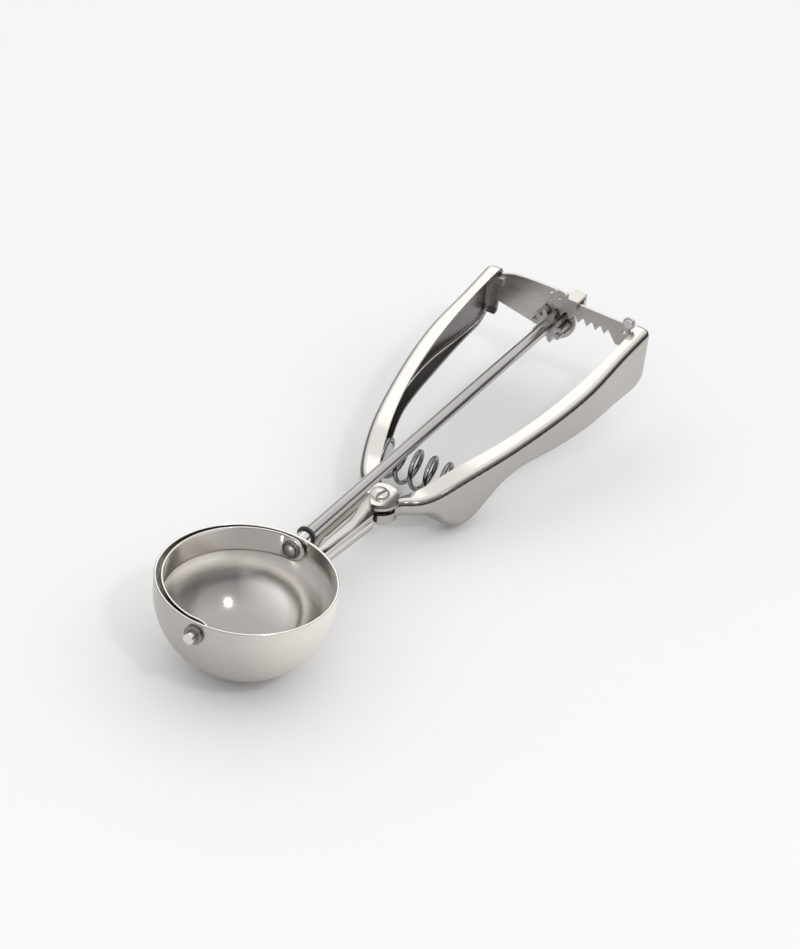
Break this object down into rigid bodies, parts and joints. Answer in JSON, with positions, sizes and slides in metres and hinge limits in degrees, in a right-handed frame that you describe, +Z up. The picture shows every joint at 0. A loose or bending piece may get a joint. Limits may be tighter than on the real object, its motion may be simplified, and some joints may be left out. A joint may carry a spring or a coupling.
{
  "type": "lever ice cream scoop",
  "caption": "Steel lever ice cream scoop: a round bowl with a scraper band that sweeps it when two sprung handles are squeezed and a rack turns the rod.",
  "frame": {"origin": "lowest point of the bowl, under the middle of its mouth", "axes": "+X along the drive rod from the bowl to the handles' ends, +Z up out of the bowl's mouth, +Y towards the handle that is fixed to the stem"},
  "size_m": [0.2122, 0.0602, 0.0395],
  "materials": {
    "bowl_steel": "satin outside, polished inside",
    "lever_steel": "polished flanges and stem, softly brushed webs",
    "blade_steel": "polished",
    "rod_steel": "polished",
    "clip_steel": "blackened",
    "rivet_steel": "polished",
    "spring_steel": "bright drawn wire",
    "gear_steel": "machined",
    "rack_steel": "satin",
    "bracket_steel": "satin"
  },
  "bodies": {
    "frame": {"bowl": "bowl_steel", "front_bearing": "rod_steel", "rear_bearing": "rod_steel", "stem_upper": "lever_steel", "stem_lower": "lever_steel", "left_lever": "lever_steel", "pivot_rivet": "rivet_steel", "pivot_washer": "rivet_steel", "spring_seat_left": "spring_steel", "return_spring": "spring_steel", "gear_bracket": "bracket_steel", "rack_guide": "rack_steel", "guide_rivet": "rivet_steel"},
    "right_lever": {"right_lever": "lever_steel", "spring_seat_right": "spring_steel", "rack_plate": "rack_steel", "rack_lug": "rack_steel", "rack_rivet": "rivet_steel", "stop_rivet": "rivet_steel"},
    "rod": {"drive_rod": "rod_steel", "rod_clip": "clip_steel", "blade_washer": "blade_steel", "scraper_blade": "blade_steel", "front_pin": "rod_steel", "pinion": "gear_steel", "pinion_pin": "gear_steel", "rod_end_washer": "rivet_steel"}
  },
  "joints": [
    {"name": "lever_swing", "type": "hinge", "parent": "frame", "child": "right_lever", "pos_m": [0.0738, 0, 0.0258], "axis": [0, 0, 1], "range_deg": [0, 8.5], "stiffness_Nm_per_rad": 2, "springref_deg": -11.46, "deforming": ["return_spring"]},
    {"name": "rod_spin", "type": "hinge", "parent": "frame", "child": "rod", "pos_m": [0, 0, 0.0258], "axis": [1, 0, 0], "range_deg": [-177.5, 0]}
  ],
  "couplings": [
    {"joint": "rod_spin", "follows": "lever_swing", "ratio": -20.806}
  ]
}
